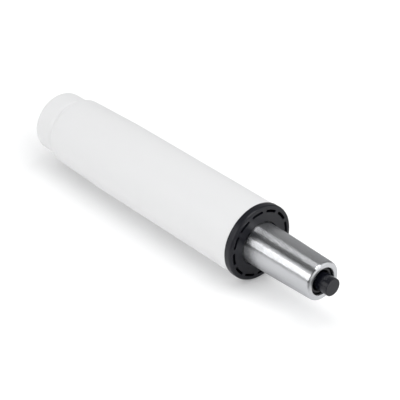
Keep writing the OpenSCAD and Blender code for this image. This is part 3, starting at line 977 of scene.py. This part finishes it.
@dataclass
class GasSpring(Assembly):
    """The chromed cylinder with its rolled lip and the button's seat."""

    wall: float = 1.5
    cone_len: float = 40.0
    lip_round: float = 2.2
    lip_hole_r: float = 9.2
    lip_edge: float = 1.2
    cone_loss: float = 1.0
    cone_ease: float = 80.0
    tail_round: float = 2.6
    tail_hole_r: float = 6.3
    recess_r: float = 6.8
    recess_depth: float = 10.0
    recess_bevel: float = 0.3
    rim_drop: float = 0.4
    rim_gap: float = 1.0
    rim_h: float = 1.5
    flange_bore_r: float = 7.85
    guide_h: float = 10.0
    edge: float = 0.2
    tube_steps: int = 128

    def __post_init__(self) -> None:
        """Reads the cylinder's reach from the frame."""
        self.tube = Extent.of("gas_cylinder")
        self.seat = Extent.of("button_guide")
        self.cone_foot = self.tube.top - self.cone_len
        self.lip_r = self.tube.r - self.cone_loss * self.cone_len / (self.cone_len - self.lip_round)

    def build_cylinder(self) -> None:
        """Turns the chromed cylinder with its seat cone, rolled lip and rolled tail."""
        r, foot, top, wall = self.tube.r, self.tube.foot, self.tube.top, self.wall
        self.make("chromed_cylinder", Section.of(
            self.edge, (self.tail_hole_r, foot), (r, foot, self.tail_round),
            (r, self.cone_foot, self.cone_ease), (self.lip_r, top, self.lip_round),
            (self.lip_hole_r, top, self.lip_edge), (self.lip_hole_r, top - wall),
            (self.lip_r - wall, top - wall, self.lip_round - wall),
            (r - wall, self.cone_foot, self.cone_ease), (r - wall, foot + wall, self.tail_round - wall),
            (self.tail_hole_r, foot + wall)), BRIGHT_CHROME, Body.CYLINDER, "gas_cylinder", self.tube_steps)

    def build_seat(self) -> None:
        """Turns the black seat inside the lip that guides the button."""
        gap = self.wall + self.fit
        top, foot = self.seat.top, self.seat.foot
        bevel = self.lip_round - self.wall + self.fit
        slope = self.cone_loss / (self.cone_len - self.lip_round)
        low_r = self.tube.r - slope * (foot - self.cone_foot) - gap
        high_r = self.tube.r - self.cone_loss * (top - self.cone_foot) / self.cone_len - gap
        bore_r = self.button_r + self.slide
        rim_r, rim_top = self.lip_hole_r - self.rim_gap, top - self.rim_drop
        rim_foot = rim_top - self.rim_h
        floor = self.tube.top - self.recess_depth
        stop = floor - self.guide_h
        self.make("button_seat", Section.of(
            self.edge, (self.flange_bore_r, foot), (low_r, foot), (high_r, top - bevel),
            (high_r - bevel, top), (self.lip_hole_r, top), (self.lip_hole_r, rim_foot),
            (rim_r, rim_foot), (rim_r, rim_top), (self.recess_r + self.recess_bevel, rim_top),
            (self.recess_r, rim_top - self.recess_bevel), (self.recess_r, floor), (bore_r, floor),
            (bore_r, stop), (self.flange_bore_r, stop)), MOULDED_BLACK, Body.CYLINDER, "button_guide")

    def build(self) -> None:
        """Makes the cylinder's pieces, in order."""
        self.build_cylinder()
        self.build_seat()

    def dress(self) -> None:
        """Gives the pieces inside the cylinder their finishes."""
        ZINC_PLATE.dress("seal_washer", "inner_tube")
        BLACK_RUBBER.dress("rod_seal", "rod_guide_o_ring", "valve_o_rings", "pin_seals")
        TURNED_ALUMINIUM.dress("rod_guide", "valve_body")
        VALVE_BRASS.dress("pin_spacer", "pin_bush")


@dataclass
class ReleaseButton(Assembly):
    """The button that opens the valve."""

    flange_t: float = 2.0
    bevel: float = 0.3
    edge: float = 0.15

    def build(self) -> None:
        """Makes the button and puts it on its body."""
        reach = Extent.of("release_button")
        r, stop = self.button_r, reach.foot + self.flange_t
        self.make("press_button", Section.of(
            self.edge, (0.0, reach.foot, 0.0), (reach.r, reach.foot), (reach.r, stop), (r, stop),
            (r, reach.top - self.bevel), (r - self.bevel, reach.top), (0.0, reach.top, 0.0),
            closed=False), BUTTON_BLACK, Body.BUTTON, "release_button")

    def dress(self) -> None:
        """Gives the valve pin its finish."""
        ZINC_PLATE.dress("valve_pin")


@dataclass(frozen=True)
class Lamp:
    """A soft square lamp, placed by its height over the lift's middle and its reach beside and along it."""

    name: str
    height: float
    aside: float
    along: float
    size: float
    watts: float
    use: LampUse = LampUse.LIGHT


@dataclass
class Studio:
    """Floor, lamps, surroundings painted for reflections alone, and camera.

    Lengths are in metres, the lens and its sensor in millimetres and angles in degrees.
    """

    floor_bearing: float = -46.0
    floor_reach: float = 4.0
    floor_colour: float = 0.92
    floor_glow: float = 0.11
    floor_fade: float = 0.06
    # Painted shadow and painted light on the floor: the glow that the camera sees drops in a band beside
    # the column and rises under the free end.
    painted_shadow_glow: float = 0.01
    painted_shadow_span: Pair = (0.015, 0.042)
    painted_shadow_foot_span: Pair = (-0.013, 0.004)
    painted_light_end_span: Pair = (0.24, 0.268)
    painted_light_end_levels: Pair = (0.24, 0.09)
    painted_shadow_to_light_turn: Pair = (0.187, 0.222)
    # Painted reflection: the floor's tones in gloss alone, darker by place than its own colour, for the
    # shade that the chrome mirrors.
    painted_reflection_far_span: Pair = (0.215, 0.245)
    painted_reflection_far_levels: Pair = (0.22, 0.56)
    painted_reflection_near_span: Pair = (0.27, 0.31)
    painted_reflection_near_levels: Pair = (0.59, 0.1)
    aim_height: float = 0.146
    aim_side: float = -0.0034
    eye_reach: float = 0.76674
    eye_height: float = 0.77863
    lens: float = 139.5
    sensor: float = 36.0
    ambient: float = 0.28
    ambient_colour: Colour = (0.97, 0.985, 1.0)
    white: float = 1.0
    white_colour: Colour = (1.0, 1.0, 1.0)
    # The surround is painted reflection: glowing bands, seen only in gloss, whose levels stand in for the
    # studio that polished pieces mirror.
    surround_r: float = 0.95
    surround_steps: int = 48
    surround_low: float = -1.8
    surround_high: float = 1.6
    surround_line: Pair = (0.05, 0.2)
    surround_line_level: float = 0.04
    surround_top: Pair = (0.48, 0.6)
    surround_top_turns: Pair = (-85.0, -45.0)
    surround_top_levels: Pair = (0.9, 0.03)
    surround_stops: list[Pair] = field(default_factory=lambda: [
        (-136.0, 0.28), (-118.0, 0.32), (-102.0, 0.28), (-86.0, 0.24), (-70.0, 0.20), (-54.0, 0.18),
        (-38.0, 0.18), (-30.0, 0.15), (-24.0, 0.12), (-15.0, 0.12), (-9.0, 0.42), (-3.0, 0.74),
        (4.0, 0.96), (12.0, 0.6), (33.0, 0.5), (37.0, 0.52), (43.0, 0.54), (46.0, 0.7)])
    lamps: list[Lamp] = field(default_factory=lambda: [
        Lamp("key_lamp", 1.0, -0.18, 0.15, 0.9, 3.4),
        Lamp("end_lamp", 0.6, 0.0, 0.8, 0.9, 4.4),
        Lamp("foot_lamp", 0.6, 0.0, -0.8, 0.9, 3.0),
        Lamp("side_lamp", 0.3, 1.0, 0.0, 0.9, 5.0),
        Lamp("far_lamp", 0.4, -1.0, 0.0, 0.9, 4.6),
        Lamp("floor_lamp", -0.7, 0.21, 0.0, 1.0, 6.05),
        Lamp("top_panel", 0.9, -0.05, 0.2, 0.5, 3.6, LampUse.GLINT),
        Lamp("side_panel", 0.38, 0.77, -0.13, 0.44, 1.25, LampUse.GLINT)])

    def __post_init__(self) -> None:
        """Works out the studio's directions from the floor's bearing and the camera."""
        bearing = math.radians(self.floor_bearing)
        self.up = Vector((math.cos(bearing), math.sin(bearing), 0.0))
        self.eye = Vector((self.eye_reach, 0.0, self.eye_height))
        self.aim = Vector((0.0, self.aim_side, self.aim_height))
        self.look = (self.aim - self.eye).normalized()
        self.axis = Vector((0.0, 0.0, 1.0))
        self.aside = self.axis.cross(self.up)
        self.drop = Extent.of("guide_bush").r * MM

    @staticmethod
    def _stage(name: str, points: list[Vector], faces: list[tuple], coat: str) -> tuple[Piece, Desk]:
        """Adds a stage object with a new node material.

        Args:
            name: name of the object.
            points: its points.
            faces: its faces, as point numbers.
            coat: name of its material.

        Returns:
            The object and the desk of its material.
        """
        mesh = bpy.data.meshes.new(name)
        mesh.from_pydata(points, [], faces)
        material = bpy.data.materials.new(coat)
        material.use_nodes = True
        mesh.materials.append(material)
        made = hold(name, mesh)
        return made, Desk(material.node_tree)

    def build_floor(self) -> None:
        """Lays the pale floor under the lift, seen from its upper side alone, with painted shadow and light
        in its glow and painted reflection tones in gloss.
        """
        middle = self.aim - self.up * (self.drop + self.aim.dot(self.up))
        reach = self.floor_reach
        points = [middle + self.aside * (across * reach) + self.axis * (along * reach)
                  for across, along in ((-1, -1), (-1, 1), (1, 1), (1, -1))]
        floor, desk = self._stage("studio_floor", points, [(0, 1, 2, 3)], "pale_floor")
        if floor.data.polygons[0].normal.dot(self.up) < 0:
            floor.data.flip_normals()
        spot = desk.add("ShaderNodeNewGeometry").outputs
        across = {0: spot["Position"], 1: self.aside}
        beside = desk.add("ShaderNodeVectorMath", across, operation="DOT_PRODUCT").outputs["Value"]
        ahead = desk.split(spot["Position"])["Z"]
        # Painted reflection: in gloss the floor shows these tones by place instead of its own colour.
        far = desk.ease(ahead, self.painted_reflection_far_span, self.painted_reflection_far_levels)
        near = desk.ease(ahead, self.painted_reflection_near_span, self.painted_reflection_near_levels)
        mirrored = desk.ease(beside, (-self.floor_fade, self.floor_fade), (far, near))
        path = desk.add("ShaderNodeLightPath").outputs
        tone = desk.mix(path["Is Glossy Ray"], self.floor_colour, mirrored)
        matt = desk.add("ShaderNodeBsdfDiffuse", {"Color": tone}).outputs[0]
        # Painted shadow: the camera's glow is lowered beside the column up to the foot, and raised under
        # the free end as painted light.
        away = desk.math("ABSOLUTE", beside)
        under = desk.ease(away, self.painted_shadow_span, (self.painted_shadow_glow, self.floor_glow))
        shaded = desk.ease(ahead, self.painted_shadow_foot_span, (self.floor_glow, under))
        lit = desk.ease(ahead, self.painted_light_end_span, self.painted_light_end_levels)
        painted_light_and_shade_glow = desk.ease(ahead, self.painted_shadow_to_light_turn, (shaded, lit))
        level = desk.mix(path["Is Camera Ray"], self.floor_glow, painted_light_and_shade_glow)
        glow = desk.math("MULTIPLY", desk.seen(), level)
        shown = desk.add("ShaderNodeEmission", {"Strength": glow}).outputs[0]
        pale = desk.add("ShaderNodeAddShader", {0: matt, 1: shown}).outputs[0]
        clear = desk.add("ShaderNodeBsdfTransparent").outputs[0]
        sided = desk.add("ShaderNodeMixShader", {0: spot["Backfacing"], 1: pale, 2: clear}).outputs[0]
        desk.add("ShaderNodeOutputMaterial", {"Surface": sided})
        floor.visible_shadow = False

    def build_surround(self) -> None:
        """Hangs painted reflections: grey glowing bands about the axis that show only in gloss."""
        first, last = self.surround_stops[0][0], self.surround_stops[-1][0]
        steps, r = self.surround_steps, self.surround_r
        points = []
        for step in range(steps + 1):
            turn = math.radians(first + (last - first) * step / steps)
            for height in (self.surround_low, self.surround_high):
                points.append(Vector((r * math.cos(turn), r * math.sin(turn), height)))
        faces = [(spot, spot + 2, spot + 3, spot + 1) for spot in range(0, 2 * steps, 2)]
        hung, desk = self._stage("studio_surround", points, faces, "grey_surround")
        place = desk.split(desk.coords())
        bearing = desk.math("ARCTAN2", place["Y"], place["X"])
        share = desk.remap(bearing, (math.radians(first), math.radians(last)))
        ramp = desk.add("ShaderNodeValToRGB", {"Fac": share})
        stops = ramp.color_ramp.elements
        for angle, _ in self.surround_stops[1:-1]:
            stops.new((angle - first) / (last - first))
        for stop, (_, level) in zip(stops, self.surround_stops):
            stop.color = (level, level, level, 1.0)
        turns = tuple(math.radians(angle) for angle in self.surround_top_turns)
        top = desk.ease(bearing, turns, self.surround_top_levels)
        low = desk.ease(place["Z"], self.surround_line, (ramp.outputs["Color"], self.surround_line_level))
        shine = desk.ease(place["Z"], self.surround_top, (low, top))
        shown = desk.add("ShaderNodeEmission", {"Strength": shine}).outputs[0]
        desk.add("ShaderNodeOutputMaterial", {"Surface": shown})
        for sight in ("camera", "diffuse", "shadow", "transmission"):
            setattr(hung, f"visible_{sight}", False)

    def build_world(self) -> None:
        """Makes the white surroundings, with a plain level of light from all sides."""
        scene = bpy.context.scene
        scene.world = bpy.data.worlds.new("studio_world")
        scene.world.use_nodes = True
        desk = Desk(scene.world.node_tree)
        plain = []
        for colour, level in ((self.ambient_colour, self.ambient), (self.white_colour, self.white)):
            shade = {"Color": (*colour, 1.0), "Strength": level}
            plain.append(desk.add("ShaderNodeBackground", shade).outputs[0])
        mixed = desk.add("ShaderNodeMixShader", {0: desk.seen(), 1: plain[0], 2: plain[1]}).outputs[0]
        desk.add("ShaderNodeOutputWorld", {"Surface": mixed})

    def build_lamps(self) -> None:
        """Hangs the lamps, each turned to the lift's middle."""
        for lamp in self.lamps:
            data = bpy.data.lights.new(lamp.name, "AREA")
            data.size = lamp.size
            data.energy = lamp.watts
            hung = hold(lamp.name, data)
            hung.location = (self.aim + self.up * lamp.height + self.aside * lamp.aside
                             + self.axis * lamp.along)
            hung.rotation_mode = "QUATERNION"
            hung.rotation_quaternion = (self.aim - hung.location).to_track_quat("-Z", "Y")
            hung.visible_camera = False
            hung.visible_glossy = lamp.use is LampUse.GLINT
            hung.visible_diffuse = lamp.use is LampUse.LIGHT

    def build_camera(self) -> None:
        """Sets the camera where the photograph was taken from."""
        data = bpy.data.cameras.new("studio_camera")
        data.lens = self.lens
        data.sensor_width = self.sensor
        camera = hold("studio_camera", data)
        right = self.look.cross(self.up).normalized()
        turned = Matrix((right, right.cross(self.look), -self.look)).transposed().to_4x4()
        camera.matrix_world = Matrix.Translation(self.eye) @ turned
        bpy.context.scene.camera = camera

    def build(self) -> None:
        """Sets up the whole studio."""
        self.build_floor()
        self.build_surround()
        self.build_world()
        self.build_lamps()
        self.build_camera()
        bpy.context.scene.view_settings.view_transform = "Standard"


def main() -> None:
    """Builds and dresses the lift's sub-assemblies in order, then the studio."""
    logging.basicConfig(level=logging.INFO, format="%(name)s: %(message)s")
    shop = Workshop()
    kinds = (StandColumn, ThrustBearing, RodAndPiston, GasSpring, ReleaseButton)
    for assembly in [kind(shop) for kind in kinds]:
        assembly.build()
        assembly.dress()
    Studio().build()


if __name__ == "__main__":
    main()
